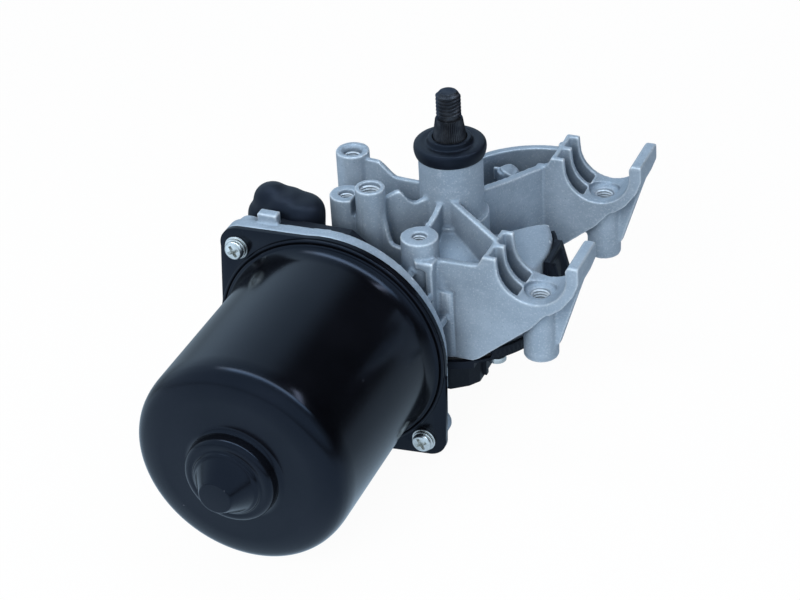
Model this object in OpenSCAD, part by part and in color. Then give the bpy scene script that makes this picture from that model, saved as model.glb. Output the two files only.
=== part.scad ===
// Wiper motor with die-cast gear housing, worm drive and two tube cradles. Millimetres, +Z up.
// Origin: the foot of the spindle's thread, on its axis. The motor can points to -Y and the tube lies along Y.
// Heights below are counted from the casting's rib floor; the module datum moves them to the origin.

/* [Spindle] */
// Output shaft radius
shaft_r = 5.5; // [4:0.1:7]
// Spindle thread major radius
thread_r = 4; // [3:0.1:5]
// Height of the spindle tip
spindle_top = 43.6; // [38:0.1:48]
// Height where the thread starts
thread_foot = 34.6; // [30:0.1:38]
// Height where the knurled cone starts
cone_foot = 27; // [25:0.1:30]

/* [Tower] */
// Tower outer radius
tower_r = 10.3; // [9:0.1:12]
// Tower top height
tower_top = 24; // [20:0.1:26]
// Bush outer radius
bush_r = 7.5; // [7:0.1:8.5]

/* [Gear chamber] */
// Chamber outer radius
chamber_r = 32; // [28:0.1:34]
// Gear pit radius
pit_r = 24; // [22.5:0.1:26]
// Height of the chamber rim
rim_z = -10; // [-14:0.1:-6]
// Height of the housing's bottom face
floor_z = -35; // [-38:0.1:-33]

/* [Gears] */
// Axial module of the worm
gear_module = 1.25; // [1:0.05:1.5]
// Teeth of the worm wheel
wheel_teeth = 33; // [30:1:40]
// Worm pitch radius
worm_pitch_r = 4.375; // [4:0.005:5]
// Half the play between the flanks, taken off each tooth
tooth_play = 0.22; // [0.1:0.01:0.3]
// Worm wheel face width
wheel_width = 8; // [6:0.1:10]

/* [Motor] */
// Can outer radius
can_r = 34.5; // [30:0.1:38]
// Can wall thickness
can_wall = 1.8; // [1:0.1:2.5]
// Front face of the can's flange
can_front = -44.4; // [-46:0.1:-42]
// Flat end face of the can
can_end = -114.3; // [-120:0.1:-100]
// Magnet thickness
magnet_t = 5.1; // [3:0.1:6]
// Air gap between magnets and core
air_gap = 1.1; // [0.6:0.1:2]
// Armature slots
core_slots = 12; // [8:1:16]

/* [Cradles] */
// Cradle radius for the 22 mm tube
cradle_r = 11.1; // [10:0.05:13]
// Cradle width along the tube
cradle_w = 17.8; // [14:0.1:22]
// Near cradle's front face
near_y = -30; // [-32:0.1:-28]
// Far cradle's front face
far_y = 34.4; // [30:0.1:38]
// Tube axis offset from the spindle
tube_x = 37.1; // [34:0.1:40]
// Tube axis height
tube_z = 1.54; // [0:0.01:4]
// Height of the leg ends
leg_z = -33.4; // [-36:0.1:-28]

/* [Hidden] */
pi = 3.14159265;
motor_x = -25;
motor_z = -28;
pitch = pi * gear_module;
wheel_pitch_r = wheel_teeth * gear_module / 2;
worm_len = 8 * pitch;
wheel_z = motor_z;
steel_back = can_front + 1.6;
cast_back = -38;
bell_r = 31;
bell_back = -30;
screw_off = 30.3;
lead_tan = gear_module / (2 * worm_pitch_r);
wheel_twist = lead_tan * wheel_width / wheel_pitch_r * 180 / pi;
boss_a = [-35.6, 3.3, 15];
boss_b = [-28.6, -18.2, 11];
boss_c = [-19.4, -20.2, 17];
boss_d = [-0.4, -27, 6.6];
hole_y = cradle_w / 2;
spot_z = tube_z - cradle_r - 0.8;
gasket_t = 0.8;
cover_z = floor_z - gasket_t;
cover_t = 2.7;
box_z = -48;
pocket_z = -16;
far_pocket_z = -18.8;
far_roof_z = far_pocket_z - 2.5;
terminal_x = [-9.1, -4.7, -0.3, 4.1];
terminal_z = -43.6;
roof_z = -18.8;
cover_angles = [-42, -14, 24, 66, 125];
cover_hole_r = 28.6;
commutator_r = 11;
core_r = can_r - can_wall - magnet_t - air_gap;
core_back = can_end + 10.3;
core_front = -58;
slot_len = core_front - core_back + 2;

// Moves the working level at the rib floor so that the origin lies at the foot of the spindle thread
module datum() {
    translate([0, 0, -thread_foot]) children();
}

// Cylinder along Y from y0 to y1 on the axis x, z
module cyl_y(x, z, y0, y1, r) {
    translate([x, y1, z]) rotate([90, 0, 0]) cylinder(h = y1 - y0, r = r, $fn = 96);
}

// Cylinder along Z from z0 to z1 on the axis x, y
module cyl_z(x, y, z0, z1, r) {
    translate([x, y, z0]) cylinder(h = z1 - z0, r = r, $fn = 96);
}

// Extrudes an X, Z profile along Y from y0 to y1
module along_y(y0, y1) {
    translate([0, y1, 0]) rotate([90, 0, 0]) linear_extrude(height = y1 - y0) children();
}

// Extrudes a plan outline from z0 to z1
module up(z0, z1) {
    translate([0, 0, z0]) linear_extrude(height = z1 - z0) children();
}

// Turns a radius, height profile round the motor axis; its height runs towards -Y from y0
module spin_y(y0) {
    translate([motor_x, y0, motor_z]) rotate([90, 0, 0]) rotate_extrude($fn = 128) children();
}

// A radial rib: points are distance from the spindle axis and height
module radial_rib(angle, t, pts) {
    rotate([0, 0, angle]) translate([0, t / 2, 0]) rotate([90, 0, 0]) linear_extrude(height = t) polygon(pts);
}

// Flange outline round the motor axis, with its two screw ears
module flange_2d() {
    translate([motor_x, motor_z]) {
        circle(r = 38.7, $fn = 128);
        polygon([[-37.6, 9], [-36, 30.6], [-29.8, 37.2], [-6, 38.2], [0, 0]]);
        translate([-29.7, 30.8]) circle(r = 6.4, $fn = 48);
        polygon([[38.6, -5], [37.8, -29], [31.4, -35.9], [8, -37.9], [0, 0]]);
        translate([31.3, -29.4]) circle(r = 6.5, $fn = 48);
    }
}

// Outline of one cradle across the tube, before the tube's arc is cut
module cradle_2d() {
    polygon([[21.4, 4.6], [26.6, 4.6], [30, -2], [44, -2], [48.9, 6], [52.2, 6], [52.4, 0.8], [50.6, -4.2],
        [46.8, -9.6], [43, -12.6], [31, -14.6], [21.4, -14.6]]);
}

// Side wall of an arm; the foot reaches the chamber
module arm_wall_2d(x0, foot) {
    polygon([[x0, 0.5], [17.4, 0.8], [19.7, 1.2], [21.4, 4.6], [26.6, 4.6], [30, -2], [44, -2], [48.9, 6], [52.2, 6],
        [52.4, 0.8], [50.6, -4.2], [46.8, -9.6], [43, -11.6], [40.3, -14.4], [36.6, -18.9], [25.5, -28.3],
        [19.4, -33.6], [17, foot], [x0, foot]]);
}

// One cradle with its leg, webs and rib pockets; y0 is the front face
module cradle(y0) {
    hy = y0 + hole_y;
    along_y(y0, y0 + cradle_w) cradle_2d();
    cyl_z(tube_x, hy, leg_z, -11, 5.65);
    along_y(hy - 1.6, hy + 1.6) polygon([[41, -12], [46, -9], [50.4, -3.5],
        [51.2, -0.5], [51.3, -2.4], [43.5, -28], [41, -28]]);
    along_y(hy - 1.2, hy + 1.2) polygon([[22, -13], [33, -13], [33, -27], [30.6, -27], [22, -20]]);
}

// What is cut from one cradle: the tube's bed, rib pockets, spot face and screw hole
module cradle_cut(y0) {
    hy = y0 + hole_y;
    cyl_y(tube_x, tube_z, y0 - 1, y0 + cradle_w + 1, cradle_r);
    along_y(y0 - 1, y0 + cradle_w + 1) polygon([[26, tube_z], [25.4, 8], [tube_x, 8], [tube_x, tube_z]]);
    for (s = [[y0 + 1.9, y0 + 7.6], [y0 + 9.6, y0 + 15.8]])
        along_y(s[0], s[1])
            polygon([[22.9, 8], [22.9, -5], [26.4, -12.6], [31, -12.6], [31.8, -8.2], [tube_x, tube_z], [tube_x, 8]]);
    cyl_z(tube_x, hy, spot_z, 8, 5.1);
    translate([tube_x, hy, spot_z - 0.4]) cylinder(h = 0.41, r1 = 3, r2 = 3.6, $fn = 64);
    cyl_z(tube_x, hy, leg_z + 3, 0, 3);
}

// Plan of the deep pocket between the chamber's shoulder and the diagonal wall
module far_pocket_2d() {
    polygon([[5, 5], [11.3, 6.1], [17, 11.3], [22.6, 16.3], [25.2, 17.6], [28.6, 17], [40, 16], [40, 36], [15, 36]]);
}

// Plan of the roof kept under that pocket
module far_roof_2d() {
    polygon([[2.4, 4], [12.4, 3.6], [18.6, 9.5], [24.1, 14.3], [25.5, 15.1], [28.2, 14.6], [42, 13.4], [42, 38], [12.4, 38]]);
}

// Outer body of the gear housing
module housing_solid() {
    // flange, bell and its fins
    intersection() {
        along_y(steel_back, cast_back) flange_2d();
        translate([-1.6, 0, 0]) along_y(steel_back, cast_back) flange_2d();
    }
    cyl_y(motor_x, motor_z, cast_back - 1, bell_back, bell_r);
    for (a = [14, 30, 46]) translate([motor_x, 0, motor_z]) rotate([0, -a, 0]) translate([bell_r - 2, cast_back - 1, -1.1])
        cube([6.5, 7.6, 2.2]);
    cyl_y(motor_x - screw_off, motor_z + screw_off, cast_back - 1, -32.5, 5);
    cyl_y(motor_x + screw_off, motor_z - screw_off, cast_back - 1, -32.5, 5);
    translate([-50, cast_back - 1.2, 8]) cube([6.6, 3.6, 4.6]);
    // chamber, its coned roof and the spindle tower
    intersection() {
        difference() {
            union() {
                cyl_z(0, 0, floor_z, rim_z, chamber_r);
                translate([0, 0, rim_z]) rotate_extrude($fn = 128)
                    polygon([[0, -2], [chamber_r - 0.8, -2], [chamber_r - 0.8, 0.4], [11.8, 9], [0, 9]]);
            }
            up(pocket_z, 20) polygon([[-2, 1.5], [-25, 1.5], [-25.4, -8], [-22, -14], [-13, -23], [-9, -26.5], [-2, -26.5]]);
            up(rim_z, 20) polygon([[4, 2], [40, -19.4], [44, 10], [34, 40], [18, 32], [7, 10]]);
            difference() {
                up(far_pocket_z, 20) far_pocket_2d();
                cyl_z(0, 0, -40, 40, tower_r + 2.5);
            }
        }
        translate([-60, bell_back - 0.4, -60]) cube([120, 100, 80]);
    }
    cyl_z(0, 0, pocket_z - 2.6, 0.6, tower_r + 1.5);
    cyl_z(0, 0, -4, tower_top, tower_r);
    // worm tunnel
    intersection() {
        cyl_y(motor_x, motor_z, bell_back - 1, 29, 9.4);
        translate([-60, -60, floor_z]) cube([120, 120, 60]);
    }
    // fixing bosses
    cyl_z(boss_a[0], boss_a[1], floor_z, boss_a[2], 5.5);
    difference() {
        cyl_z(boss_b[0], boss_b[1], -26, boss_b[2], 5.4);
        translate([boss_b[0] + 2.3, boss_b[1] - 8, boss_b[2] - 4.6]) cube([8, 16, 8]);
    }
    cyl_z(boss_c[0], boss_c[1], -22, boss_c[2], 4.8);
    cyl_z(boss_d[0], boss_d[1], -14, boss_d[2], 6);
    // web to the tall boss and radial ribs
    translate([0, -0.5, 0]) radial_rib(174.7, 2, [[8, 9], [12, 9], [16.9, 8.8], [19.8, 8.7], [22.3, 10.4],
        [24, 11.9], [25.7, 13.3], [33, 13.3], [33, -24], [27, -24], [8, -17]]);
    translate([0, 2, 0]) radial_rib(174.7, 4, [[8, 0.6], [31, 0.2], [31, -24], [27, -24], [8, -17]]);
    radial_rib(-133.9, 2.6, [[21, -17], [21.8, -5], [23.4, 9], [26, 9.4], [26, -17]]);
    radial_rib(-90.8, 2, [[8, 10], [14, 7.4], [22.6, 6], [22.6, -17], [8, -17]]);
    translate([3.4, -8.6, 0]) radial_rib(-30, 2.2, [[-2, 10.6], [23.6, 4.8], [23.6, -11], [0, -3]]);
    // small tab and its ribbed stem at the foot of the near arm
    difference() {
        along_y(-34, -29.4) polygon([[0.6, 0], [6.1, 0], [6.1, -20], [4.4, -18], [3.8, -9], [3.8, -1.6], [0.9, -1.4]]);
        translate([4.5, -34.5, -13]) cube([0.9, 1.6, 10]);
    }
    // seat of the cable boot
    translate([-52, -31, -20]) cube([18, 12, 16]);
    // near arm
    along_y(near_y, near_y + 2.4) arm_wall_2d(5, floor_z);
    along_y(near_y + cradle_w - 2.6, near_y + cradle_w) polygon([[22, 4.2], [24, 4.4], [26, -4], [30, -12],
        [43, -12], [40.3, -14.6], [36.6, -18.9], [27, -27], [22, -24]]);
    cradle(near_y);
    // far arm: straight front wall, diagonal wall to the tower and curved back wall
    along_y(far_y, far_y + 2.8) arm_wall_2d(15.6, -31);
    translate([7.6, 8.8, 0]) rotate([0, 0, 66.75]) translate([0, 3, 0]) rotate([90, 0, 0]) linear_extrude(height = 3)
        polygon([[-3.5, 4.8], [0, 4.4], [12, 2.4], [24, 1.1], [27.6, 0.5], [30, 0.5], [30, -30.2], [-3.5, -30.2]]);
    intersection() {
        up(-31, -0.6) difference() {
            translate([20.6, 20.6]) circle(r = 31.6, $fn = 128);
            translate([20.6, 20.6]) circle(r = 28.9, $fn = 128);
        }
        translate([-12.8, 22.5, -40]) cube([33.6, 40, 60]);
    }
    along_y(far_y + cradle_w - 2.6, far_y + cradle_w) arm_wall_2d(19, -31);
    cyl_z(5, 37, -30, -4, 3.4);
    up(-31, -27) polygon([[12, 28], [19, far_y + 1], [19, far_y + cradle_w - 1], [6, 46.5], [-6, 38], [-11, 26]]);
    cradle(far_y);
}

// Cavities of the gear housing
module housing_cut() {
    // brush recess and the front bearing seat
    cyl_y(motor_x, motor_z, steel_back - 1, -34, 28);
    cyl_y(motor_x, motor_z, -35, -24, 8);
    cyl_y(motor_x, motor_z, -26, 25, 5.8);
    cyl_y(motor_x, motor_z, 24, 40, 4);
    // gear pit with a coned roof and the tower bore
    difference() {
        union() {
            cyl_z(0, 0, floor_z - 1, roof_z, pit_r);
            difference() {
                cyl_z(0, 0, -21, rim_z - 2.8, pit_r);
                translate([-40, -40, -30]) cube([40.6, 80, 40]);
                up(-40, 0) far_roof_2d();
            }
        }
        cyl_z(0, 0, -19, 0, tower_r);
        difference() {
            up(far_roof_z, 0) far_roof_2d();
            cyl_z(0, 0, -40, 10, tower_r + 1.9);
        }
    }
    cyl_z(0, 0, -40, 60, bush_r);
    // lightening groove with the cover screw bosses left standing
    difference() {
        intersection() {
            up(floor_z - 1, -17) difference() {
                circle(r = 29.6, $fn = 128);
                circle(r = 26.4, $fn = 128);
            }
            translate([-12, -26.8, -60]) cube([60, 80, 80]);
        }
        for (a = cover_angles) cyl_z(cover_hole_r * cos(a), cover_hole_r * sin(a), -40, -10, 3.4);
        up(far_roof_z, 0) far_roof_2d();
    }
    for (a = cover_angles) cyl_z(cover_hole_r * cos(a), cover_hole_r * sin(a), -40, -25, 1.6);
    cyl_z(boss_a[0], boss_a[1], -40, -25, 1.6);
    // boss holes
    cyl_z(boss_a[0], boss_a[1], 0, 20, 2.9);
    translate([boss_a[0], boss_a[1], boss_a[2] - 0.9]) cylinder(h = 1, r1 = 2.9, r2 = 4, $fn = 64);
    cyl_z(boss_b[0], boss_b[1], -4, 20, 2.35);
    cyl_z(boss_c[0], boss_c[1], 1, 20, 3.3);
    cyl_z(boss_d[0], boss_d[1], -7, 20, 2.35);
    // flange screw holes
    cyl_y(motor_x - screw_off, motor_z + screw_off, -46, -34, 2.4);
    cyl_y(motor_x + screw_off, motor_z - screw_off, -46, -34, 2.4);
    cradle_cut(near_y);
    cradle_cut(far_y);
}

module gear_housing() {
    color([0.62, 0.66, 0.7]) datum() difference() {
        housing_solid();
        housing_cut();
    }
}

// Drawn steel can: cup, flange and the stepped nose that holds the rear bush
module motor_can() {
    len = steel_back - can_end;
    nose = 4.2;
    color([0.05, 0.06, 0.08]) datum() difference() {
        union() {
            along_y(can_front, steel_back) flange_2d();
            spin_y(steel_back) union() {
                square([can_r, len - 7.3]);
                square([can_r - 7.3, len]);
                translate([can_r - 7.3, len - 7.3]) circle(r = 7.3, $fn = 64);
            }
            spin_y(steel_back) translate([0, len - 1]) polygon([[0, 0], [14.8, 0], [14.1, 2], [14, nose], [13.2, nose + 1],
                [10.6, nose + 1], [10, nose + 2], [5.2, 14], [0, 14]]);
        }
        spin_y(steel_back + 1) union() {
            square([can_r - can_wall, len - 6.5]);
            square([can_r - 7.3, len + 1 - can_wall]);
            translate([can_r - 7.3, len - 6.3]) circle(r = 7.3 - can_wall, $fn = 64);
        }
        cyl_y(motor_x, motor_z, can_end - 3, can_end + 3, 12.2);
        cyl_y(motor_x, motor_z, can_end - 11, can_end, 4.2);
        cyl_y(motor_x - screw_off, motor_z + screw_off, -50, -40, 2.8);
        cyl_y(motor_x + screw_off, motor_z - screw_off, -50, -40, 2.8);
    }
}

// Arc magnet bonded in the can; side is 1 or -1
module magnet(side) {
    color([0.18, 0.18, 0.19]) datum() intersection() {
        difference() {
            cyl_y(motor_x, motor_z, core_back, core_front, can_r - can_wall);
            cyl_y(motor_x, motor_z, core_back - 1, core_front + 1, core_r + air_gap);
        }
        along_y(core_back - 2, core_front + 2) translate([motor_x, motor_z])
            polygon([[0, 0], [side * 50, 46], [side * 50, -46]]);
    }
}

module magnet_left() magnet(-1);

module magnet_right() magnet(1);

module rear_retainer() {
    color([0.7, 0.71, 0.73]) datum() difference() {
        cyl_y(motor_x, motor_z, can_end - 3, can_end + 2.4, 12.2);
        cyl_y(motor_x, motor_z, can_end - 4, can_end + 4, 6.5);
        for (a = [0:60:300]) cyl_y(motor_x + 9.4 * cos(a), motor_z + 9.4 * sin(a), can_end - 4, can_end + 4, 1.5);
    }
}

module rear_bush() {
    color([0.55, 0.42, 0.25]) datum() difference() {
        cyl_y(motor_x, motor_z, can_end - 3, can_end + 4, 6.5);
        cyl_y(motor_x, motor_z, can_end - 4, can_end + 5, 4.04);
    }
}

module thrust_button() {
    color([0.9, 0.88, 0.8]) datum() cyl_y(motor_x, motor_z, can_end - 11, can_end - 3.2, 4.2);
}

module front_bush() {
    color([0.55, 0.42, 0.25]) datum() difference() {
        cyl_y(motor_x, motor_z, -34, -26, 8);
        cyl_y(motor_x, motor_z, -35, -25, 4.04);
    }
}

module worm_end_bush() {
    color([0.55, 0.42, 0.25]) datum() difference() {
        cyl_y(motor_x, motor_z, 17.6, 24, 5.8);
        cyl_y(motor_x, motor_z, 17, 25, 2.94);
    }
}

// Adjusting screw that takes the end thrust of the armature
module thrust_screw() {
    color([0.75, 0.77, 0.8]) datum() difference() {
        union() {
            cyl_y(motor_x, motor_z, 24.4, 31.6, 4);
            cyl_y(motor_x, motor_z, 29, 31.6, 5.4);
        }
        translate([motor_x - 6, 30.6, motor_z - 0.6]) cube([12, 2, 1.2]);
    }
}

module brush_plate() {
    color([0.12, 0.12, 0.13]) datum() difference() {
        union() {
            cyl_y(motor_x, motor_z, -41.4, -39.2, 27.7);
            for (a = [90, 210, 330]) translate([motor_x, 0, motor_z]) rotate([0, -a, 0])
                translate([12.6, -47.6, -4.4]) cube([12.6, 7, 8.8]);
        }
        cyl_y(motor_x, motor_z, -50, -38, 12.4);
        for (a = [90, 210, 330]) translate([motor_x, 0, motor_z]) rotate([0, -a, 0])
            translate([10, -46.2, -2.8]) cube([14.2, 4.2, 5.6]);
        for (a = [30, 150, 270]) cyl_y(motor_x + 24.6 * cos(a), motor_z + 24.6 * sin(a), -45, -38, 1.7);
    }
}

// Carbon brush on the angle a, bearing on the commutator
module brush(a) {
    color([0.16, 0.15, 0.15]) datum() translate([motor_x, 0, motor_z]) rotate([0, -a, 0]) difference() {
        translate([commutator_r - 1, -46.1, -2.7]) cube([10 - 0.6, 4, 5.4]);
        rotate([90, 0, 0]) translate([0, 0, 30]) cylinder(h = 30, r = commutator_r + 0.06, $fn = 96);
    }
}

module brush_low() brush(90);

module brush_common() brush(210);

module brush_high() brush(330);

// Brush spring drawn as its outer envelope
module brush_spring(a) {
    color([0.7, 0.71, 0.73]) datum() translate([motor_x, 0, motor_z]) rotate([0, -a, 0])
        translate([19.5, -44.1, 0]) rotate([0, 90, 0]) difference() {
            cylinder(h = 4.7, r = 1.9, $fn = 32);
            translate([0, 0, -1]) cylinder(h = 7, r = 1.2, $fn = 32);
        }
}

module brush_spring_low() brush_spring(90);

module brush_spring_common() brush_spring(210);

module brush_spring_high() brush_spring(330);

// Suppression choke: ferrite rod with its coil
module choke(a) {
    color([0.7, 0.38, 0.2]) datum() translate([motor_x, 0, motor_z]) rotate([0, -a, 0]) translate([19.5, -43.9, -6]) union() {
        cylinder(h = 12, r = 1.4, $fn = 32);
        translate([0, 0, 2]) cylinder(h = 8, r = 2.5, $fn = 32);
    }
}

module choke_low() choke(150);

module choke_high() choke(30);

module circuit_breaker() {
    color([0.72, 0.66, 0.5]) datum() translate([motor_x, 0, motor_z]) rotate([0, 90, 0])
        translate([16, -45.4, -5]) cube([8.5, 4, 10]);
}

module armature_shaft() {
    color([0.72, 0.74, 0.77]) datum() union() {
        cyl_y(motor_x, motor_z, can_end - 3, -24, 4);
        cyl_y(motor_x, motor_z, -24.5, 24.2, 2.9);
    }
}

// Single-start worm with straight axial flanks
module worm() {
    t2 = pitch / 4 - tooth_play / 2;
    tan_a = tan(20);
    ra = worm_pitch_r + 1;
    rf = worm_pitch_r - 1.3;
    s_tip = (t2 - 1 * tan_a) / pitch * 360;
    s_mid = t2 / pitch * 360;
    s_root = (t2 + 1.3 * tan_a) / pitch * 360;
    side = [[s_tip, ra], [(s_tip + s_mid) / 2, ra - 0.5], [s_mid, worm_pitch_r],
        [(s_mid + s_root) / 2, worm_pitch_r - 0.65], [s_root, rf]];
    root = [for (i = [1:5]) [s_root + (360 - 2 * s_root) * i / 6, rf]];
    other = [for (i = [4:-1:0]) [360 - side[i][0], side[i][1]]];
    tip = [for (i = [1:3]) [360 - s_tip + 2 * s_tip * i / 4, ra]];
    pts = [for (p = concat(side, root, other, tip)) [p[1] * cos(p[0]), p[1] * sin(p[0])]];
    color([0.72, 0.74, 0.77]) datum() difference() {
        translate([motor_x, 0, motor_z]) rotate([-90, 0, 0])
            linear_extrude(height = worm_len, center = true, twist = -360 * worm_len / pitch, slices = 144) polygon(pts);
        cyl_y(motor_x, motor_z, -20, 20, 2.9);
    }
}

// Laminated core with open slots
module armature_core() {
    color([0.5, 0.52, 0.55]) datum() difference() {
        cyl_y(motor_x, motor_z, core_back, core_front, core_r);
        cyl_y(motor_x, motor_z, core_back - 1, core_front + 1, 4);
        for (i = [0:core_slots - 1]) translate([motor_x, 0, motor_z]) rotate([0, 360 / core_slots * i, 0]) {
            translate([core_r - 3, core_back - 1, -1.1]) cube([6, slot_len, 2.2]);
            translate([10.5, core_front + 1, 0]) rotate([90, 0, 0]) linear_extrude(height = slot_len)
                polygon([[0, -0.9], [0, 0.9], [core_r - 13.3, 4], [core_r - 13.3, -4]]);
        }
    }
}

// Copper winding: bars in the slots and the end turns
module armature_winding() {
    color([0.72, 0.4, 0.2]) datum() union() {
        for (i = [0:core_slots - 1]) translate([motor_x, 0, motor_z]) rotate([0, 360 / core_slots * i, 0])
            translate([11, core_front + 1, 0]) rotate([90, 0, 0]) linear_extrude(height = slot_len)
                polygon([[0, -0.6], [0, 0.6], [core_r - 14.3, 3.5], [core_r - 14.3, -3.5]]);
        for (y = [core_back - 5.6, core_front + 0.2]) difference() {
            cyl_y(motor_x, motor_z, y, y + 5.4, core_r - 2.1);
            cyl_y(motor_x, motor_z, y - 1, y + 7, 9);
        }
    }
}

module commutator() {
    color([0.75, 0.45, 0.25]) datum() difference() {
        union() {
            cyl_y(motor_x, motor_z, -51, -37.6, commutator_r);
            cyl_y(motor_x, motor_z, -51.6, -49.6, commutator_r + 1.2);
        }
        cyl_y(motor_x, motor_z, -53, -36, 4);
        for (i = [0:core_slots - 1]) translate([motor_x, 0, motor_z]) rotate([0, 360 / core_slots * (i + 0.5), 0])
            translate([commutator_r - 0.9, -60, -0.3]) cube([4, 30, 0.6]);
    }
}

// Flank half angle of a wheel tooth at radius r
function inv(a) = tan(a) * 180 / pi - a;
function flank(r) = 90 / wheel_teeth - tooth_play / 2 / wheel_pitch_r * 180 / pi + inv(20)
    - inv(acos(min(1, wheel_pitch_r * cos(20) / r)));

// Worm wheel with involute teeth set to the worm's lead
module worm_wheel() {
    rb = wheel_pitch_r * cos(20);
    rr = wheel_pitch_r - 1.35;
    ra = wheel_pitch_r + 1;
    step = 360 / wheel_teeth;
    radii = [rb, rb + 0.55, wheel_pitch_r, wheel_pitch_r + 0.5, ra];
    pts = [for (i = [0:wheel_teeth - 1]) for (p = concat([[-flank(rb), rr]],
        [for (r = radii) [-flank(r), r]], [for (k = [4:-1:0]) [flank(radii[k]), radii[k]]], [[flank(rb), rr]]))
        let (a = 180 + step * (i + 0.5) + p[0]) [p[1] * cos(a), p[1] * sin(a)]];
    color([0.85, 0.83, 0.74]) datum() difference() {
        union() {
            difference() {
                translate([0, 0, wheel_z]) rotate([0, 0, -wheel_twist / 2])
                    translate([0, 0, -wheel_width / 2])
                    linear_extrude(height = wheel_width, twist = -wheel_twist, slices = 4) polygon(pts);
                cyl_z(0, 0, wheel_z - wheel_width, wheel_z + wheel_width, 17.4);
            }
            cyl_z(0, 0, wheel_z - 1.8, wheel_z + 1.8, 17.4);
            cyl_z(0, 0, wheel_z - 4.6, -20, 9);
            for (a = [0:60:300]) rotate([0, 0, a]) translate([8, -1, wheel_z - 3.6]) cube([9.6, 2, 7.2]);
        }
        cyl_z(0, 0, -60, 0, shaft_r);
    }
}

module output_shaft() {
    color([0.13, 0.14, 0.16]) datum() difference() {
        union() {
            cyl_z(0, 0, -33.6, cone_foot, shaft_r);
            translate([0, 0, cone_foot]) cylinder(h = thread_foot - cone_foot, r1 = shaft_r - 0.05, r2 = 4.3, $fn = 96);
            cyl_z(0, 0, thread_foot, spindle_top - 0.8, thread_r);
            translate([0, 0, spindle_top - 0.8]) cylinder(h = 0.8, r1 = thread_r, r2 = thread_r - 0.8, $fn = 96);
        }
        difference() {
            cyl_z(0, 0, 23.6, 24.6, shaft_r + 1);
            cyl_z(0, 0, 23, 25, shaft_r - 0.5);
        }
    }
}

// Park disc under the wheel, with its notch
module contact_disc() {
    color([0.78, 0.62, 0.3]) datum() difference() {
        cyl_z(0, 0, wheel_z - 5.4, wheel_z - 4.6, 16.4);
        cyl_z(0, 0, -40, -20, shaft_r);
        intersection() {
            difference() {
                cyl_z(0, 0, -40, -20, 18);
                cyl_z(0, 0, -41, -19, 11);
            }
            up(-42, -18) polygon([[0, 0], [30, 6], [30, -6]]);
        }
    }
}

module retaining_ring() {
    color([0.7, 0.71, 0.73]) datum() difference() {
        cyl_z(0, 0, 23.6, 24.6, 7);
        cyl_z(0, 0, 23, 25, shaft_r - 0.5);
        translate([-1.4, 0, 20]) cube([2.8, 10, 10]);
    }
}

module thrust_washer() {
    color([0.7, 0.71, 0.73]) datum() difference() {
        cyl_z(0, 0, -20, -19, 9.4);
        cyl_z(0, 0, -21, -18, shaft_r + 0.05);
    }
}

module tower_bush_upper() {
    color([0.55, 0.42, 0.25]) datum() difference() {
        cyl_z(0, 0, 12, 23.2, bush_r);
        cyl_z(0, 0, 11, 25, shaft_r + 0.04);
    }
}

module tower_bush_lower() {
    color([0.55, 0.42, 0.25]) datum() difference() {
        cyl_z(0, 0, -19, -8, bush_r);
        cyl_z(0, 0, -20, -7, shaft_r + 0.04);
    }
}

// Rubber cap over the tower, lipped on the shaft
module seal_cap() {
    color([0.03, 0.03, 0.04]) datum() difference() {
        rotate_extrude($fn = 128) polygon([[0, 21.4], [10.9, 21.4], [11.4, 22.4], [11.8, 24.6], [11.7, 25.4], [11, 26.1],
            [9, 26.3], [7.2, 26], [7, 27.6], [6.6, 27.9], [0, 27.9]]);
        cyl_z(0, 0, 20, tower_top, tower_r);
        cyl_z(0, 0, 20, 24.9, 7.6);
        cyl_z(0, 0, 20, 30, shaft_r + 0.08);
    }
}

// Plan outline of the bottom cover
module cover_2d(grow) {
    circle(r = chamber_r + grow, $fn = 128);
    translate([boss_a[0], boss_a[1]]) circle(r = 5.5 + grow, $fn = 64);
    polygon([[-38, -2.6 - grow], [-38, 9.2 + grow], [-20, 26], [-20, -26]]);
}

// Keeps the cover clear of the bell behind the flange
module bell_clear() {
    cyl_y(motor_x, motor_z, -60, bell_back + 0.3, bell_r + 0.6);
}

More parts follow.
